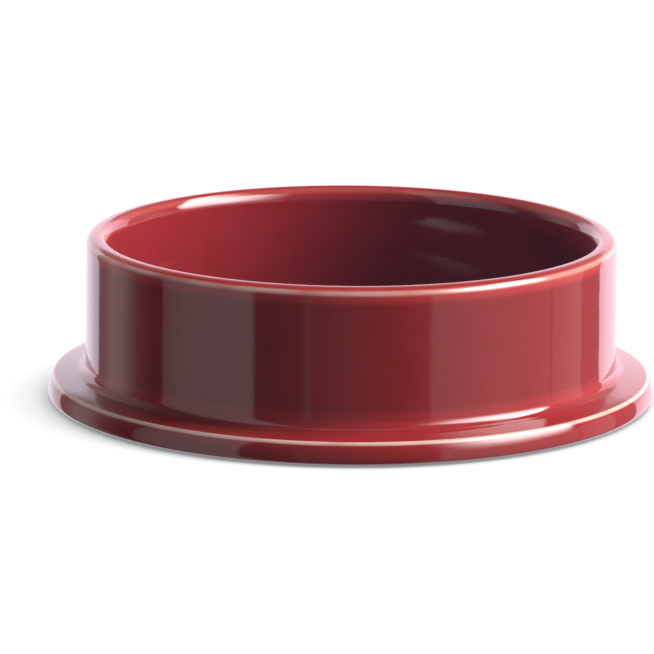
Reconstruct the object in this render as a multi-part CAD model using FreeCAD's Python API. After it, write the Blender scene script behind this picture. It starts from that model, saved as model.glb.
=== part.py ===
"""Glazed ceramic pet bowl: a straight-walled dish on a wide flange, with a silicone non-slip ring.

Millimetres, +Z up. The origin is on the surface that the bowl stands on, at the bowl's axis.
Both pieces are turned about that axis, so each is drawn as one section, right of the axis.
"""
import FreeCAD, Part
import math
import os

# Wall and rim of the ceramic body
RIM_HEIGHT = 44.6             # crest of the rim, above the surface
WALL_OUTER_RADIUS = 71.9      # outside of the wall, at the rim
WALL_THICKNESS = 6.4          # just under the rim
WALL_DRAFT_DEG = 0.6          # both faces lean by this, so the wall thickens downwards
RIM_SLOPE_DEG = 3.0           # the rim's top falls outwards
RIM_INNER_ROUNDING = 2.0
RIM_OUTER_ROUNDING = 2.6
LIP_WIDTH = 3.0               # from the wall's inside face to the rim's crest, level
LIP_LEAN_DEG = 40.0           # from upright, of the lip that turns in from the wall to the rim
LIP_ROUNDING = 4.0            # between wall and lip

# Flange that spreads from the foot of the wall
FLANGE_REACH = 10.6           # widest part, outwards from the wall's radius at the rim
FLANGE_EDGE_HEIGHT = 6.4      # crease where the flange's top meets its side, above the surface
FLANGE_EDGE_SETBACK = 1.5     # crease to the widest part of the flange, level
FLANGE_SIDE_DROP = 2.5        # from the crease to the sharp corner under the side's rounding
FLANGE_SLOPE_DEG = 8.0        # the flange's top falls outwards
FLANGE_CREASE_ROUNDING = 0.8
FLANGE_SIDE_ROUNDING = 7.4
FLANGE_HEEL_ROUNDING = 1.1    # lower outer edge
WALL_FOOT_FILLET = 3.0        # outside, between wall and flange

# Inside of the bowl
FLOOR_THICKNESS = 5.6
FLOOR_COVE_RADIUS = 9.0       # inside, between wall and floor

# Foot band: the bare clay that stands in the kiln, and the recess inside it
FOOT_BAND_SETBACK = 5.5       # inwards from the widest part of the flange
FOOT_BAND_WIDTH = 14.0
FOOT_BAND_STEP = 0.25         # the band stands this far below the glazed flange
RECESS_DEPTH = 2.4            # the floor's underside, above the band
RECESS_ROUNDING = 2.0

# Non-slip ring, pressed up into a groove along the middle of the foot band
RING_WIDTH = 6.0
RING_THICKNESS = 2.2
RING_STAND = 0.4              # how far the ring stands below the foot band
RING_ROUNDING = 0.6           # lower edges of the ring
RING_SIDE_CLEARANCE = 0.2     # between the ring and each side of its groove
GROOVE_ROUNDING = 0.3         # mouth of the groove

SAME_POINT = 1e-6             # ends of the outline nearer than this are one point

flange_radius = WALL_OUTER_RADIUS + FLANGE_REACH
foot_band_outer = flange_radius - FOOT_BAND_SETBACK
foot_band_inner = foot_band_outer - FOOT_BAND_WIDTH
ring_middle = (foot_band_outer + foot_band_inner) / 2


def at(radius, height):
    """A point of the section."""
    return FreeCAD.Vector(radius, 0, height)


def heading(degrees):
    """A direction in the section: 0 is outwards, 90 is up."""
    return at(math.cos(math.radians(degrees)), math.sin(math.radians(degrees)))


def crossing(start, direction, other_start, other_direction):
    """Where two straight lines of the section cross, each from a point and a direction."""
    gap = other_start - start
    across = direction.x * other_direction.z - direction.z * other_direction.x
    reach = (gap.x * other_direction.z - gap.z * other_direction.x) / across
    return start + direction * reach


def corner_arc(before, corner, after, half_angle, reach):
    """The start, middle and end of the arc that meets both sides of a corner at a reach from it."""
    back = (before - corner).normalize()
    onward = (after - corner).normalize()
    inward = (back + onward).normalize()
    radius = reach * math.tan(half_angle)
    middle = corner + inward * (radius / math.sin(half_angle) - radius)
    return corner + back * reach, middle, corner + onward * reach


def turned(corners):
    """A solid of revolution. Each corner of its closed section is a point and a rounding.

    A side that is too short for the roundings at its two ends makes both smaller.
    """
    points = [point for point, _ in corners]
    befores = points[-1:] + points[:-1]
    afters = points[1:] + points[:1]
    half_angles = []
    reaches = []
    for before, after, (corner, rounding) in zip(befores, afters, corners):
        half_angle = (before - corner).getAngle(after - corner) / 2
        half_angles.append(half_angle)
        reaches.append(rounding / math.tan(half_angle))
    fits = []
    for index, before in enumerate(befores):
        needed = reaches[index - 1] + reaches[index]
        side_length = (points[index] - before).Length
        fits.append(side_length / needed if needed > side_length else 1)
    arcs = []
    for index, (before, corner, after) in enumerate(zip(befores, points, afters)):
        reach = reaches[index] * min(fits[index], fits[(index + 1) % len(fits)])
        arcs.append(corner_arc(before, corner, after, half_angles[index], reach))

    edges = []
    for index, (start, middle, end) in enumerate(arcs):
        last_end = arcs[index - 1][2]
        if not start.isEqual(last_end, SAME_POINT):
            edges.append(Part.LineSegment(last_end, start).toShape())
        if not start.isEqual(end, SAME_POINT):
            edges.append(Part.Arc(start, middle, end).toShape())
    section = Part.Face(Part.Wire(edges))
    return section.revolve(at(0, 0), at(0, 1), 360)


def rim_corners():
    """The sharp corners under the lip, inside the rim and outside it.

    They are placed so that the rim's rounded crest is at RIM_HEIGHT.
    """
    inner_start = at(WALL_OUTER_RADIUS - WALL_THICKNESS, RIM_HEIGHT)
    inner_face = heading(90 - WALL_DRAFT_DEG)
    outer_face = heading(WALL_DRAFT_DEG - 90)
    lip = heading(90 - LIP_LEAN_DEG)
    # The crest is the top of the inner rounding.
    centre = inner_start + at(LIP_WIDTH, -RIM_INNER_ROUNDING)
    lip_top = centre + heading(180 - LIP_LEAN_DEG) * RIM_INNER_ROUNDING
    rim_top = centre + heading(90 - RIM_SLOPE_DEG) * RIM_INNER_ROUNDING
    along_top = heading(-RIM_SLOPE_DEG)
    lip_foot = crossing(inner_start, inner_face, lip_top, lip)
    inner = crossing(lip_top, lip, rim_top, along_top)
    outer = crossing(at(WALL_OUTER_RADIUS, RIM_HEIGHT), outer_face, rim_top, along_top)
    return lip_foot, inner, outer


def ceramic_body():
    """Floor, wall, rim, flange and foot band: one fired piece."""
    lip_foot, rim_inner, rim_outer = rim_corners()
    band_height = RING_STAND
    flange_underside = band_height + FOOT_BAND_STEP
    recess_height = band_height + RECESS_DEPTH
    floor_height = recess_height + FLOOR_THICKNESS
    groove_inner = ring_middle - RING_WIDTH / 2 - RING_SIDE_CLEARANCE
    groove_outer = ring_middle + RING_WIDTH / 2 + RING_SIDE_CLEARANCE

    floor_edge = crossing(lip_foot, heading(90 - WALL_DRAFT_DEG), at(0, floor_height), heading(0))
    crease = at(flange_radius - FLANGE_EDGE_SETBACK, FLANGE_EDGE_HEIGHT)
    wall_foot = crossing(rim_outer, heading(WALL_DRAFT_DEG - 90), crease, heading(180 - FLANGE_SLOPE_DEG))
    return turned([
        (at(0, floor_height), 0),
        (floor_edge, FLOOR_COVE_RADIUS),
        (lip_foot, LIP_ROUNDING),
        (rim_inner, RIM_INNER_ROUNDING),
        (rim_outer, RIM_OUTER_ROUNDING),
        (wall_foot, WALL_FOOT_FILLET),
        (crease, FLANGE_CREASE_ROUNDING),
        (at(flange_radius, FLANGE_EDGE_HEIGHT - FLANGE_SIDE_DROP), FLANGE_SIDE_ROUNDING),
        (at(flange_radius, flange_underside), FLANGE_HEEL_ROUNDING),
        (at(foot_band_outer + FOOT_BAND_STEP, flange_underside), 0),
        (at(foot_band_outer, band_height), 0),
        (at(groove_outer, band_height), GROOVE_ROUNDING),
        (at(groove_outer, RING_THICKNESS), 0),
        (at(groove_inner, RING_THICKNESS), 0),
        (at(groove_inner, band_height), GROOVE_ROUNDING),
        (at(foot_band_inner, band_height), 0),
        (at(foot_band_inner - RECESS_DEPTH, recess_height), RECESS_ROUNDING),
        (at(0, recess_height), 0),
    ])


def non_slip_ring():
    """Silicone ring: flat on top where it seats in the groove, with rounded lower edges."""
    inner = ring_middle - RING_WIDTH / 2
    outer = ring_middle + RING_WIDTH / 2
    return turned([
        (at(inner, 0), RING_ROUNDING),
        (at(inner, RING_THICKNESS), 0),
        (at(outer, RING_THICKNESS), 0),
        (at(outer, 0), RING_ROUNDING),
    ])


PIECES = {
    "ceramic_body": ceramic_body,
    "non_slip_ring": non_slip_ring,
}

os.makedirs("parts", exist_ok=True)
for name, make in PIECES.items():
    piece = make()
    piece.exportStep("parts/" + name + ".step")
    print(name, "valid" if piece.isValid() else "NOT VALID", "volume %.0f mm3" % piece.Volume)
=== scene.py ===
import math

import bpy
from mathutils import Matrix, Vector


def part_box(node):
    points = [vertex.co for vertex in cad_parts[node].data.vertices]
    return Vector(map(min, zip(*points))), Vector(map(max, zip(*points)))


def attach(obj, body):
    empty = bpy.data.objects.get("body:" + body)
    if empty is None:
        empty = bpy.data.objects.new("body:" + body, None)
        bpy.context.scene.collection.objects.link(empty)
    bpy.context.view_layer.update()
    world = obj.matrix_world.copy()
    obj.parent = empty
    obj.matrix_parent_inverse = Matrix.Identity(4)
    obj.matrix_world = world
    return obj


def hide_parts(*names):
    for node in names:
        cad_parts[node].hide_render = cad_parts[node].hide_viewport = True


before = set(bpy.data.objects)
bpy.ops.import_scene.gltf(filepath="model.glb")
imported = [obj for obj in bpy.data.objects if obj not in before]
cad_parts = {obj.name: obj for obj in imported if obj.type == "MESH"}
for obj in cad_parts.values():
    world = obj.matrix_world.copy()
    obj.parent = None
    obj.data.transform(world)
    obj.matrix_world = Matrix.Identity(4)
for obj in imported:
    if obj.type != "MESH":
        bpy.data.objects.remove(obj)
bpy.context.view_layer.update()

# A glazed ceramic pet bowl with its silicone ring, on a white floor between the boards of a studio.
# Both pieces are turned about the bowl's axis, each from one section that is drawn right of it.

MM = 0.001
bpy.ops.object.select_all(action="DESELECT")

# ---------------------------------------------------------------- sizes, in metres

body_low, body_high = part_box("ceramic_body")
ring_low, ring_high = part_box("non_slip_ring")

RIM_HEIGHT = body_high[2]
FLANGE_RADIUS = body_high[0]
WALL_OUTER_RADIUS = FLANGE_RADIUS - 10.6 * MM
WALL_INNER_RADIUS = WALL_OUTER_RADIUS - 6.4 * MM
WALL_DRAFT = math.radians(0.6)
RIM_SLOPE = math.radians(3.0)
RIM_INNER_ROUNDING = 2.0 * MM
RIM_OUTER_ROUNDING = 2.6 * MM
LIP_LEAN = math.radians(40.0)
LIP_WIDTH = 3.0 * MM
LIP_ROUNDING = 4.0 * MM

FLANGE_EDGE_HEIGHT = 6.4 * MM
FLANGE_EDGE_RADIUS = FLANGE_RADIUS - 1.5 * MM
FLANGE_SIDE_DROP = 2.5 * MM
FLANGE_SLOPE = math.radians(8.0)
FLANGE_CREASE_ROUNDING = 0.8 * MM
FLANGE_SIDE_ROUNDING = 7.4 * MM
FLANGE_HEEL_ROUNDING = 1.1 * MM
WALL_FOOT_FILLET = 3.0 * MM
WALL_FOOT_HEIGHT = 10.3 * MM    # where the fillet ends on the wall

FLOOR_HEIGHT = 8.4 * MM
FLOOR_COVE_RADIUS = 9.0 * MM
BAND_HEIGHT = body_low[2]
BAND_STEP = 0.25 * MM
BAND_OUTER_RADIUS = FLANGE_RADIUS - 5.5 * MM
BAND_INNER_RADIUS = BAND_OUTER_RADIUS - 14.0 * MM
RECESS_DEPTH = 2.4 * MM
RECESS_ROUNDING = 2.0 * MM

RING_OUTER_RADIUS = ring_high[0]
RING_INNER_RADIUS = RING_OUTER_RADIUS - 6.0 * MM
RING_TOP = ring_high[2]
RING_ROUNDING = 0.6 * MM
RING_SIDE_CLEARANCE = 0.2 * MM
GROOVE_ROUNDING = 0.3 * MM

TURNS = 256                # steps round the bowl
ROUNDING_STEPS = 10        # steps in each rounded corner
STRAIGHT_STEP = 2.0 * MM   # longest step along a straight of the outline
SAME_PLACE = 0.01 * MM     # a point nearer than this to a corner is that corner
MERGE_WITHIN = 0.001 * MM


# ---------------------------------------------------------------- turning a section

def at(radius, height):
    """A point of a section, right of the bowl's axis."""
    return Vector((radius, 0.0, height))


def heading(angle):
    """A direction in a section: 0 is outwards, a quarter turn is up."""
    return at(math.cos(angle), math.sin(angle))


def crossing(start, direction, other_start, other_direction):
    """Where two straight lines of a section cross."""
    gap = other_start - start
    across = direction.x * other_direction.z - direction.z * other_direction.x
    return start + direction * ((gap.x * other_direction.z - gap.z * other_direction.x) / across)


def select_corner(mesh, corner):
    """In edit mode, select only the point of an outline that is at the corner."""
    bpy.ops.mesh.select_all(action="DESELECT")
    bpy.ops.object.mode_set(mode="OBJECT")
    for point in mesh.vertices:
        point.select = (point.co - corner).length < SAME_PLACE
    bpy.ops.object.mode_set(mode="EDIT")


def points_between(edge_length):
    """How many points divide a straight edge into steps that are short enough."""
    return max(0, math.ceil(edge_length / STRAIGHT_STEP) - 1)


def divide_straights(mesh):
    """In edit mode, divide each long edge, so that smooth shading of a rounding stays near it."""
    def length(ends):
        first, second = (mesh.vertices[index].co for index in ends)
        return (first - second).length

    bpy.ops.object.mode_set(mode="OBJECT")
    counts = {points_between(length(ends)) for ends in mesh.edge_keys} - {0}
    bpy.ops.object.mode_set(mode="EDIT")
    for count in sorted(counts, reverse=True):
        bpy.ops.mesh.select_all(action="DESELECT")
        bpy.ops.object.mode_set(mode="OBJECT")
        for edge in mesh.edges:
            edge.select = points_between(length(edge.vertices)) == count
        bpy.ops.object.mode_set(mode="EDIT")
        bpy.ops.mesh.select_mode(type="EDGE")
        bpy.ops.mesh.subdivide(number_cuts=count)
        bpy.ops.mesh.select_mode(type="VERT")


def turned(name, corners, closed):
    """Draw a section, each corner a point and a rounding, and turn it about the bowl's axis."""
    points = [point for point, _ in corners]
    bpy.ops.mesh.primitive_plane_add(size=MM, location=(0, 0, 0))
    piece = bpy.context.object
    piece.name = piece.data.name = name
    bpy.ops.object.mode_set(mode="EDIT")
    bpy.ops.mesh.merge(type="CENTER")
    bpy.ops.transform.translate(value=points[0])
    for before, point in zip(points, points[1:]):
        bpy.ops.mesh.extrude_vertices_move(TRANSFORM_OT_translate={"value": point - before})
    bpy.ops.mesh.select_all(action="SELECT")
    if closed:
        bpy.ops.mesh.edge_face_add()
        bpy.ops.mesh.delete(type="ONLY_FACE")
    for index, (corner, rounding) in enumerate(corners):
        if rounding:
            before, after = points[index - 1], points[(index + 1) % len(points)]
            half_angle = (before - corner).angle(after - corner) / 2
            select_corner(piece.data, corner)
            bpy.ops.mesh.bevel(offset=rounding / math.tan(half_angle), segments=ROUNDING_STEPS,
                               affect="VERTICES", clamp_overlap=False)
    divide_straights(piece.data)

    bpy.ops.mesh.select_all(action="SELECT")
    bpy.ops.mesh.spin(steps=TURNS, angle=2 * math.pi, center=(0, 0, 0), axis=(0, 0, 1))
    bpy.ops.mesh.select_all(action="SELECT")
    bpy.ops.mesh.remove_doubles(threshold=MERGE_WITHIN)
    bpy.ops.mesh.normals_make_consistent(inside=False)
    bpy.ops.object.mode_set(mode="OBJECT")
    bpy.ops.object.shade_smooth()
    return piece


# ---------------------------------------------------------------- shader maths

MIX_FIRST, MIX_SECOND, MIX_RESULT = 6, 7, 2    # colour sockets of a Mix node


class Signal:
    """One output of a shader node. Arithmetic on signals and numbers adds its Math nodes."""

    def __init__(self, recipe, node, output=0):
        self.recipe = recipe
        self.node = node
        self.output = output

    def other(self, output):
        """Another output of the same node."""
        return Signal(self.recipe, self.node, output)

    def maths(self, operation, *others):
        """A Math node with this signal first."""
        return self.recipe.maths(operation, self, *others)

    def __add__(self, other):
        return self.maths("ADD", other)

    def __sub__(self, other):
        return self.maths("SUBTRACT", other)

    def __rsub__(self, other):
        return self.recipe.maths("SUBTRACT", other, self)

    def __mul__(self, other):
        return self.maths("MULTIPLY", other)

    __radd__ = __add__
    __rmul__ = __mul__

    def ramp(self, low, high):
        """0 below low, 1 above high, with a soft step between."""
        return self.recipe.add("ShaderNodeMapRange", {"interpolation_type": "SMOOTHSTEP"},
                               {"Value": self, "From Min": low, "From Max": high})

    def between(self, low, high, softness):
        """1 from low to high, with a soft step that goes as far as softness to each side of both."""
        return self.ramp(low - softness, low + softness) \
            * (1 - self.ramp(high - softness, high + softness))


class Recipe:
    """The nodes of one material or of the world."""

    def __init__(self, owner):
        self.owner = owner
        owner.use_nodes = True
        self.tree = owner.node_tree
        self.tree.nodes.clear()

    def add(self, kind, settings=None, inputs=None, output=0):
        """A node of any type: its settings first, then its sockets. Gives one output as a signal.

        The setting "stops" is for a colour ramp: pairs of position and grey level, in order.
        """
        node = self.tree.nodes.new(kind)
        for setting, value in (settings or {}).items():
            if setting == "stops":
                elements = node.color_ramp.elements
                for index, (position, level) in enumerate(value):
                    element = elements[index] if index < len(elements) else elements.new(position)
                    element.position = position
                    element.color = (level, level, level, 1)
            else:
                setattr(node, setting, value)
        for socket, value in (inputs or {}).items():
            if isinstance(value, Signal):
                self.tree.links.new(value.node.outputs[value.output], node.inputs[socket])
            else:
                node.inputs[socket].default_value = value
        return Signal(self, node, output)

    def maths(self, operation, *values):
        """A Math node on signals and numbers, in order."""
        return self.add("ShaderNodeMath", {"operation": operation}, dict(enumerate(values)))

    def blend(self, share, first, second, how="MIX"):
        """The first colour where share is 0, and where it is 1 the second, or the two combined."""
        return self.add("ShaderNodeMix", {"data_type": "RGBA", "blend_type": how},
                        {"Factor": share, MIX_FIRST: first, MIX_SECOND: second}, output=MIX_RESULT)

    def noise(self, place, size, detail=2.0):
        """Soft noise between 0 and 1 with features of about the given size."""
        return self.add("ShaderNodeTexNoise", inputs={
            "Vector": place, "Scale": 1 / size, "Detail": detail})

    def place(self):
        """The place on the object, its distance from the axis, and its height."""
        place = self.add("ShaderNodeTexCoord", output="Object")
        split = self.add("ShaderNodeSeparateXYZ", inputs={0: place})
        x, y, height = (split.other(axis) for axis in "XYZ")
        return place, (x * x + y * y).maths("SQRT"), height

    def finish(self, surface):
        """Send the surface to the output. Gives the material or world."""
        of_world = isinstance(self.owner, bpy.types.World)
        self.add("ShaderNodeOutputWorld" if of_world else "ShaderNodeOutputMaterial",
                 inputs={"Surface": surface})
        return self.owner


# ---------------------------------------------------------------- finishes

# A pair of values is a soft step between them: nothing below the first, all above the second.
WHITE = (1, 1, 1, 1)
BLACK = (0, 0, 0, 1)

GLAZE_RED = (0.42, 0.030, 0.036, 1)
GLAZE_DEEP = (0.40, 0.027, 0.026, 1)
GLAZE_SOFT_AND_GLOW = (0.70, 0.055, 0.060, 1)   # where the glaze is a little thinner, and painted glow round the highlights
GLAZE_EDGE = (0.68, 0.13, 0.09, 1)     # where it is thin
GLAZE_THIN = (0.95, 0.60, 0.50, 1)     # where the clay shows through it
GLAZE_ROUGHNESS = 0.045
GLAZE_IOR = 1.5
MOTTLE_SIZE, MOTTLE_STEP = 9 * MM, (0.35, 0.7)      # patches of the deep red
THIN_PATCH_SIZE, THIN_PATCH_STEP = 14 * MM, (0.2, 0.6)
THIN_PATCH_LEAST = 0.7                 # of the thinning, between its patches
ORANGE_PEEL_SIZE, ORANGE_PEEL_RELIEF = 3.5 * MM, 0.012 * MM

# Circles round the bowl, each with its radius, height and half width: thin lines where the glaze is
# thinner, and the wider UNDER_RIM and OVER_FOOT bands, partly thinner glaze and partly a painted glow
# round the highlights
RIM_LINE = (WALL_OUTER_RADIUS - 0.5 * MM, RIM_HEIGHT - 1.5 * MM, 1.3 * MM)
LIP_LINE = (WALL_OUTER_RADIUS - 5.1 * MM, RIM_HEIGHT - 1.05 * MM, 1.3 * MM)
CREASE_LINE = (FLANGE_EDGE_RADIUS + 0.1 * MM, FLANGE_EDGE_HEIGHT - 0.25 * MM, 0.95 * MM)
UNDER_RIM = (WALL_OUTER_RADIUS, RIM_HEIGHT - 2.2 * MM, 2.8 * MM)
OVER_FOOT = (WALL_OUTER_RADIUS + 0.4 * MM, WALL_FOOT_HEIGHT, 2.8 * MM)
RIM_LINE_SHARE, LIP_LINE_SHARE, OVER_FOOT_SHARE = 0.70, 0.22, 0.45
RIM_TOP_STEP = (RIM_HEIGHT - 1.8 * MM, RIM_HEIGHT - 0.8 * MM)    # UNDER_RIM ends here
EDGE_STEP, THIN_STEP = (0, 0.5), (0.35, 1)     # how thin the glaze is where each colour sets in

PAINTED_HAZE = (0.0, 0.0015, 0.0025, 1)             # painted haze: a faint cool glow emitted by the glaze, standing in for the light a gloss glaze catches in shade
PAINTED_INNER_HAZE = (0.0035, 0.0065, 0.011, 1)     # the same painted glow, stronger, inside the bowl
ABOVE_FLOOR = (FLOOR_HEIGHT - 2 * MM, FLOOR_HEIGHT - 1 * MM)
IN_WALL = (WALL_OUTER_RADIUS - 5 * MM, WALL_OUTER_RADIUS - 4 * MM)
HELD_BACK = 0.90                            # painted shade: share of the light from glaze to glaze that is cut

CLAY_LIGHT = (0.62, 0.50, 0.40, 1)
CLAY_DARK = (0.50, 0.39, 0.30, 1)
CLAY_ROUGHNESS = 0.745
GRIT_SIZE, GRIT_RELIEF = 0.5 * MM, 0.12 * MM
BARE_FROM = (BAND_INNER_RADIUS - 1.0 * MM, BAND_INNER_RADIUS - 0.8 * MM)
BARE_TO = (BAND_HEIGHT + 0.05 * MM, BAND_HEIGHT + 0.15 * MM)
WANDER_SIZE, WANDER = 5 * MM, 0.3 * MM      # of the line where the glaze ends
BARE_PAST_RING, BARE_OVER_RING = 0.575 * MM, 0.075 * MM    # in the groove that holds the ring
GROOVE_SOFTNESS = 0.025 * MM

SILICONE_DARK = (0.40, 0.395, 0.39, 1)
SILICONE_LIGHT = (0.46, 0.455, 0.45, 1)
SILICONE_ROUGHNESS, SILICONE_UNEVENNESS = 0.55, 0.1
SILICONE_GRAIN_SIZE, SILICONE_RELIEF, SILICONE_BUMP = 0.6 * MM, 0.05 * MM, 0.4


def near_line(radius, height, line):
    """1 on a circle round the bowl, falling to 0 at its half width."""
    line_radius, line_height, half_width = line
    aside = radius - line_radius
    above = height - line_height
    away = (aside * aside + above * above).maths("SQRT")
    return 1 - away.ramp(half_width * 0.25, half_width)


def red_glaze():
    """Gloss burgundy glaze. It thins to the pale clay on sharp turns and stops at the foot band.
    Lighter red bands under the rim and over the foot are partly thinner glaze and partly a painted glow
    round the highlights, and a faint emitted cool glow is painted haze in the shade.
    """
    recipe = Recipe(bpy.data.materials.new("burgundy_glaze"))
    place, radius, height = recipe.place()
    mottle = recipe.noise(place, MOTTLE_SIZE, detail=3).ramp(*MOTTLE_STEP)
    patches = recipe.noise(place, THIN_PATCH_SIZE, detail=1).ramp(*THIN_PATCH_STEP)
    thinning = patches * (1 - THIN_PATCH_LEAST) + THIN_PATCH_LEAST
    below_rim_top = 1 - height.ramp(*RIM_TOP_STEP)
    # Lighter red bands under the rim and over the foot: partly thinner glaze, partly a painted glow
    # round the highlights.
    soft = (near_line(radius, height, UNDER_RIM) * below_rim_top
            + near_line(radius, height, OVER_FOOT) * OVER_FOOT_SHARE) * thinning
    thin = (near_line(radius, height, RIM_LINE) * RIM_LINE_SHARE
            + near_line(radius, height, LIP_LINE) * LIP_LINE_SHARE
            + near_line(radius, height, CREASE_LINE)) * thinning
    colour = recipe.blend(mottle, GLAZE_RED, GLAZE_DEEP)
    colour = recipe.blend(soft, colour, GLAZE_SOFT_AND_GLOW)
    colour = recipe.blend(thin.ramp(*EDGE_STEP), colour, GLAZE_EDGE)
    colour = recipe.blend(thin.ramp(*THIN_STEP), colour, GLAZE_THIN)

    glaze_end = radius + (recipe.noise(place, WANDER_SIZE) - 0.5) * WANDER
    on_band = glaze_end.ramp(*BARE_FROM) * (1 - height.ramp(*BARE_TO))
    in_groove = radius.between(RING_INNER_RADIUS - BARE_PAST_RING, RING_OUTER_RADIUS + BARE_PAST_RING,
                               GROOVE_SOFTNESS) \
        * height.between(BAND_HEIGHT, RING_TOP + BARE_OVER_RING, GROOVE_SOFTNESS)
    bare = on_band.maths("MAXIMUM", in_groove)
    grit = recipe.noise(place, GRIT_SIZE, detail=4)
    colour = recipe.blend(bare, colour, recipe.blend(grit, CLAY_LIGHT, CLAY_DARK))

    # Painted shade: for light bounced from glaze to glaze the colour goes nearly black, so that the
    # inside of the bowl stays dark on its shaded side.
    passed_on = recipe.add("ShaderNodeLightPath", output="Is Diffuse Ray")
    colour = recipe.blend(passed_on * HELD_BACK, colour, BLACK)
    # Painted haze: a faint emitted cool glow, stronger inside the bowl, stands in for light on the
    # shaded glaze.
    inside = height.ramp(*ABOVE_FLOOR) * (1 - radius.ramp(*IN_WALL))
    painted_haze = recipe.blend(inside, PAINTED_HAZE, PAINTED_INNER_HAZE)

    orange_peel = recipe.noise(place, ORANGE_PEEL_SIZE, detail=1)
    relief = orange_peel * (1 - bare) * (ORANGE_PEEL_RELIEF / MM) + grit * bare * (GRIT_RELIEF / MM)
    bump = recipe.add("ShaderNodeBump", inputs={"Strength": 1.0, "Distance": MM, "Height": relief})
    return recipe.finish(recipe.add("ShaderNodeBsdfPrincipled", inputs={
        "Base Color": colour, "Roughness": bare * (CLAY_ROUGHNESS - GLAZE_ROUGHNESS) + GLAZE_ROUGHNESS,
        "IOR": GLAZE_IOR, "Normal": bump, "Emission Color": painted_haze, "Emission Strength": 1.0}))


def grey_silicone():
    """Soft matte silicone with a faint grain."""
    recipe = Recipe(bpy.data.materials.new("grey_silicone_rubber"))
    place, _, _ = recipe.place()
    grain = recipe.noise(place, SILICONE_GRAIN_SIZE, detail=3)
    bump = recipe.add("ShaderNodeBump", inputs={
        "Strength": SILICONE_BUMP, "Distance": SILICONE_RELIEF, "Height": grain})
    return recipe.finish(recipe.add("ShaderNodeBsdfPrincipled", inputs={
        "Base Color": recipe.blend(grain, SILICONE_DARK, SILICONE_LIGHT),
        "Roughness": grain * SILICONE_UNEVENNESS + SILICONE_ROUGHNESS, "Normal": bump}))


# ---------------------------------------------------------------- pieces

def ceramic_bowl():
    """The fired bowl: floor, wall, rim, flange and foot band."""
    wall_inside = at(WALL_INNER_RADIUS, RIM_HEIGHT)
    up_inner = heading(math.pi / 2 - WALL_DRAFT)
    down_outer = heading(WALL_DRAFT - math.pi / 2)
    up_lip = heading(math.pi / 2 - LIP_LEAN)
    # The rim's inner rounding has its top at the rim's height.
    centre = wall_inside + at(LIP_WIDTH, -RIM_INNER_ROUNDING)
    on_lip = centre + heading(math.pi - LIP_LEAN) * RIM_INNER_ROUNDING
    on_rim = centre + heading(math.pi / 2 - RIM_SLOPE) * RIM_INNER_ROUNDING
    rim_inner = crossing(on_lip, up_lip, on_rim, heading(-RIM_SLOPE))
    rim_outer = crossing(at(WALL_OUTER_RADIUS, RIM_HEIGHT), down_outer, on_rim, heading(-RIM_SLOPE))
    lip_foot = crossing(wall_inside, up_inner, on_lip, up_lip)
    floor_edge = crossing(wall_inside, up_inner, at(0, FLOOR_HEIGHT), heading(0))
    crease = at(FLANGE_EDGE_RADIUS, FLANGE_EDGE_HEIGHT)
    wall_foot = crossing(rim_outer, down_outer, crease, heading(math.pi - FLANGE_SLOPE))
    underside = BAND_HEIGHT + BAND_STEP
    recess_height = BAND_HEIGHT + RECESS_DEPTH
    groove_outer = RING_OUTER_RADIUS + RING_SIDE_CLEARANCE
    groove_inner = RING_INNER_RADIUS - RING_SIDE_CLEARANCE
    bowl = turned("ceramic_bowl", [
        (at(0, FLOOR_HEIGHT), 0),
        (floor_edge, FLOOR_COVE_RADIUS),
        (lip_foot, LIP_ROUNDING),
        (rim_inner, RIM_INNER_ROUNDING),
        (rim_outer, RIM_OUTER_ROUNDING),
        (wall_foot, WALL_FOOT_FILLET),
        (crease, FLANGE_CREASE_ROUNDING),
        (at(FLANGE_RADIUS, FLANGE_EDGE_HEIGHT - FLANGE_SIDE_DROP), FLANGE_SIDE_ROUNDING),
        (at(FLANGE_RADIUS, underside), FLANGE_HEEL_ROUNDING),
        (at(BAND_OUTER_RADIUS + BAND_STEP, underside), 0),
        (at(BAND_OUTER_RADIUS, BAND_HEIGHT), 0),
        (at(groove_outer, BAND_HEIGHT), GROOVE_ROUNDING),
        (at(groove_outer, RING_TOP), 0),
        (at(groove_inner, RING_TOP), 0),
        (at(groove_inner, BAND_HEIGHT), GROOVE_ROUNDING),
        (at(BAND_INNER_RADIUS, BAND_HEIGHT), 0),
        (at(BAND_INNER_RADIUS - RECESS_DEPTH, recess_height), RECESS_ROUNDING),
        (at(0, recess_height), 0),
    ], closed=False)
    bowl.data.materials.append(red_glaze())
    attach(bowl, "root")
    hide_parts("ceramic_body")


def silicone_ring():
    """The soft ring in the foot band's groove."""
    ring = turned("silicone_ring", [
        (at(RING_INNER_RADIUS, 0), RING_ROUNDING),
        (at(RING_INNER_RADIUS, RING_TOP), 0),
        (at(RING_OUTER_RADIUS, RING_TOP), 0),
        (at(RING_OUTER_RADIUS, 0), RING_ROUNDING),
    ], closed=True)
    ring.data.materials.append(grey_silicone())
    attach(ring, "root")
    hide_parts("non_slip_ring")


# ---------------------------------------------------------------- studio

FLOOR_SIZE = 12.0
FLOOR_COLOUR = (0.385, 0.38, 0.37, 1)
FLOOR_GLOW, OPEN_GLOW = 0.20, 0.5      # the floor's own light, and what is added in the open
CONTACT_SHADOW_REACH = 5 * MM                 # how far the painted contact shadow round the foot reaches

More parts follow.
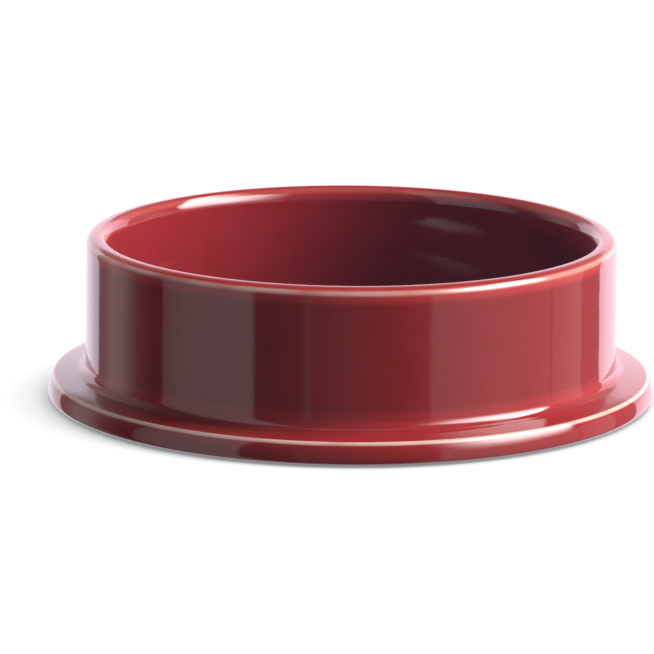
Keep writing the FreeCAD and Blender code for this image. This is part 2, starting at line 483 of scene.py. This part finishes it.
# The surroundings of the bowl, as its glaze shows them. Directions are in degrees: how far round
# to the right from the camera, and how far up. A board's brightness is given at places going
# round, and two places a degree or so apart are the edge of a board.
BOARDS = [
    (-142, 0.26), (-132, 0.36), (-125, 0.74), (-117, 0.82), (-111, 0.60), (-105, 0.27), (-95, 0.09),
    (-88.5, 0.09), (-87.5, 0.55), (-76, 0.90), (-60, 1.06), (-42.5, 1.12), (-41.5, 0.18), (-33, 0.12),
    (-21, 0.17), (-18, 0.42), (-15, 0.20), (-4, 0.26), (9, 0.18), (22, 0.11), (33.5, 0.19),
    (34.5, 0.88), (70, 0.90), (79, 0.72), (94, 0.80), (95.5, 0.40), (97, 0.82), (110, 0.92),
    (117, 0.92), (118, 0.36), (134, 0.30),
]
BOARD_TOP, BOARD_TOP_SOFTNESS = 16, 3
TALL_BOARD = (-88, -41)        # the boards between these go up much further
TALL_BOARD_SOFTNESS = 0.5
TALL_BOARD_TOP = 70

BACK_BOARDS = [                # white, behind the bowl
    (-180, 0.85), (-173, 1.05), (-164, 1.30), (-155, 1.55), (-146, 1.45), (135, 2.2), (145, 2.15),
    (151, 1.85), (159, 1.56), (168, 1.25), (173, 1.05), (180, 0.85),
]
BACK_FROM = (-140.5, 135.5)    # they lie beyond these
BACK_SOFTNESS = 1
BACK_TINT = (1.08, 1.0, 1.13, 1)
BACK_UPPER = (1.55, 1.55, 1.55, 1)     # the part of them that is above level
BACK_UPPER_FROM = (-4, 6)
BACK_TOP = (17, 21)

CEILING, ZENITH = 0.15, 0.8    # brightness above the boards, and straight above
ZENITH_EDGE = (72, 86)
BACK_GLOW = 0.4                # added to the ceiling above the boards behind
BACK_GLOW_FROM, BACK_GLOW_TOP = (98, 112), (25, 50)

# The key light: where each of its soft edges goes from and to. Its right edge leans, so that it is
# further round where it is higher up. A weaker glow is above it.
KEY_LEFT, KEY_RIGHT, KEY_LEAN = (31, 72), (79, 86), 0.6
KEY_LOWER, KEY_UPPER, GLOW_UPPER = (8, 32), (46, 60), (68, 80)
KEY_GLARE = (20.0, 20.0, 20.0, 1)
GLOW_LEVEL = 0.2

FILL_ABOVE = (0.045, 0.10, 0.14, 1)    # cool light from everywhere on what isn't a reflection
FILL_BELOW = (0.14, 0.15, 0.17, 1)     # and what comes back from below
FILL_EDGE = (-10, 10)

LAMP_DISTANCE = 3.0
# Each lamp's name, direction round and up, size, and light on a surface that faces it
LAMPS = [
    ("side_lamp", 78, 16, 2.0, 1.14),
    ("top_lamp", 98, 68, 0.8, 0.62),
    ("back_lamp", 180, 60, 2.0, 0.3),
    ("left_lamp", -84, 2, 0.3, 0.10),
    ("far_left_lamp", -140, 4, 1.0, 0.5),
]

CAMERA_TARGET = Vector((0, 0, 0.020))
CAMERA_DISTANCE, CAMERA_UP = 1.2, 12.62
CAMERA_ROLL = math.radians(0.45)
CAMERA_SENSOR, CAMERA_LENS = 36, 242.4
CAMERA_SHIFT_X, CAMERA_SHIFT_Y = -0.0367, -0.0084


def bearing(azimuth, elevation):
    """The direction that is this many degrees round to the right from the camera, and up."""
    azimuth, elevation = math.radians(azimuth), math.radians(elevation)
    level = math.cos(elevation)
    return Vector((math.sin(azimuth) * level, -math.cos(azimuth) * level, math.sin(elevation)))


def studio_floor():
    """A plain white floor with a painted contact shadow round the foot. It keeps the cast shadows, and
    the glaze shows the boards instead of it.
    """
    bpy.ops.mesh.primitive_plane_add(size=FLOOR_SIZE, location=(0, 0, 0))
    floor = bpy.context.object
    floor.name = "studio_floor"
    recipe = Recipe(bpy.data.materials.new("white_floor"))
    lit = recipe.add("ShaderNodeBsdfDiffuse", inputs={"Color": FLOOR_COLOUR})
    # Painted contact shadow: the added glow fades where the bowl is near, leaving a dark line round the
    # foot.
    in_open = recipe.add("ShaderNodeAmbientOcclusion", {"samples": 8}, {"Distance": CONTACT_SHADOW_REACH},
                         output="AO")
    glow = recipe.add("ShaderNodeEmission", inputs={
        "Color": WHITE, "Strength": in_open * OPEN_GLOW + FLOOR_GLOW})
    both = recipe.add("ShaderNodeAddShader", inputs={0: lit, 1: glow})
    floor.data.materials.append(recipe.finish(both))
    floor.visible_glossy = False
    floor.visible_diffuse = False


def soft_lamp(name, azimuth, elevation, size, level):
    """A square lamp that gives the level of light to a surface that faces it."""
    direction = bearing(azimuth, elevation)
    lamp = bpy.data.lights.new(name, "AREA")
    lamp.shape = "SQUARE"
    lamp.size = size
    lamp.energy = level * (math.pi * LAMP_DISTANCE) ** 2
    stand = bpy.data.objects.new(name, lamp)
    bpy.context.collection.objects.link(stand)
    stand.location = direction * LAMP_DISTANCE
    stand.rotation_euler = direction.to_track_quat("Z", "Y").to_euler()
    stand.visible_glossy = False


def studio_world():
    """White where the camera sees it, the boards and the key light in the glaze, and a soft fill."""
    recipe = Recipe(bpy.data.worlds.new("studio"))
    outlook = recipe.add("ShaderNodeTexCoord", output="Generated")
    split = recipe.add("ShaderNodeSeparateXYZ", inputs={0: outlook})
    x, y, z = (split.other(axis) for axis in "XYZ")
    azimuth = x.maths("ARCTAN2", y * -1) * math.degrees(1)
    elevation = z.maths("ARCSINE") * math.degrees(1)

    def going_round(boards):
        stops = [(place / 360 + 0.5, level) for place, level in boards]
        return recipe.add("ShaderNodeValToRGB", {"stops": stops}, {0: azimuth * (1 / 360) + 0.5})

    high_up = elevation.ramp(*ZENITH_EDGE)
    rearward = azimuth.maths("ABSOLUTE").ramp(*BACK_GLOW_FROM)
    over_back = rearward * (1 - elevation.ramp(*BACK_GLOW_TOP))
    ceiling = high_up * (ZENITH - CEILING) + CEILING + over_back * BACK_GLOW
    tall = azimuth.between(*TALL_BOARD, TALL_BOARD_SOFTNESS)
    board_top = tall * (TALL_BOARD_TOP - BOARD_TOP) + BOARD_TOP
    over_boards = (elevation - board_top).ramp(-BOARD_TOP_SOFTNESS, BOARD_TOP_SOFTNESS)
    boards = recipe.blend(over_boards, going_round(BOARDS), ceiling)
    back = recipe.blend(elevation.ramp(*BACK_UPPER_FROM), going_round(BACK_BOARDS), BACK_UPPER)
    back = recipe.blend(1.0, back, BACK_TINT, how="MULTIPLY")
    back = recipe.blend(elevation.ramp(*BACK_TOP), back, ceiling)
    around = recipe.blend(azimuth.between(*BACK_FROM, BACK_SOFTNESS), back, boards)

    abreast = azimuth.ramp(*KEY_LEFT) * (1 - (azimuth - elevation * KEY_LEAN).ramp(*KEY_RIGHT))
    above_key = elevation.ramp(*KEY_UPPER)
    glare = abreast * elevation.ramp(*KEY_LOWER) * (1 - above_key)
    glow = abreast * above_key * (1 - elevation.ramp(*GLOW_UPPER))
    around = recipe.blend(1.0, around, glow * GLOW_LEVEL, how="ADD")

    path = recipe.add("ShaderNodeLightPath")
    glossy = path.other("Is Glossy Ray")
    fill = recipe.blend(elevation.ramp(*FILL_EDGE), FILL_BELOW, FILL_ABOVE)
    light = recipe.blend(glossy, fill, around)
    light = recipe.blend(glossy * glare, light, KEY_GLARE)
    light = recipe.blend(path.other("Is Camera Ray"), light, WHITE)
    bpy.context.scene.world = recipe.finish(recipe.add("ShaderNodeBackground", inputs={"Color": light}))


def studio_camera():
    """A long lens, a little above the rim."""
    camera = bpy.data.objects.new("camera", bpy.data.cameras.new("camera"))
    bpy.context.collection.objects.link(camera)
    camera.data.sensor_width = CAMERA_SENSOR
    camera.data.lens = CAMERA_LENS
    camera.data.shift_x = CAMERA_SHIFT_X
    camera.data.shift_y = CAMERA_SHIFT_Y
    camera.location = CAMERA_TARGET + bearing(0, CAMERA_UP) * CAMERA_DISTANCE
    upright = (CAMERA_TARGET - camera.location).to_track_quat("-Z", "Y").to_matrix()
    camera.rotation_euler = (upright @ Matrix.Rotation(CAMERA_ROLL, 3, "Z")).to_euler()
    bpy.context.scene.camera = camera


ceramic_bowl()
silicone_ring()

studio_floor()
for lamp in LAMPS:
    soft_lamp(*lamp)
studio_world()
studio_camera()
bpy.context.scene.view_settings.view_transform = "Standard"
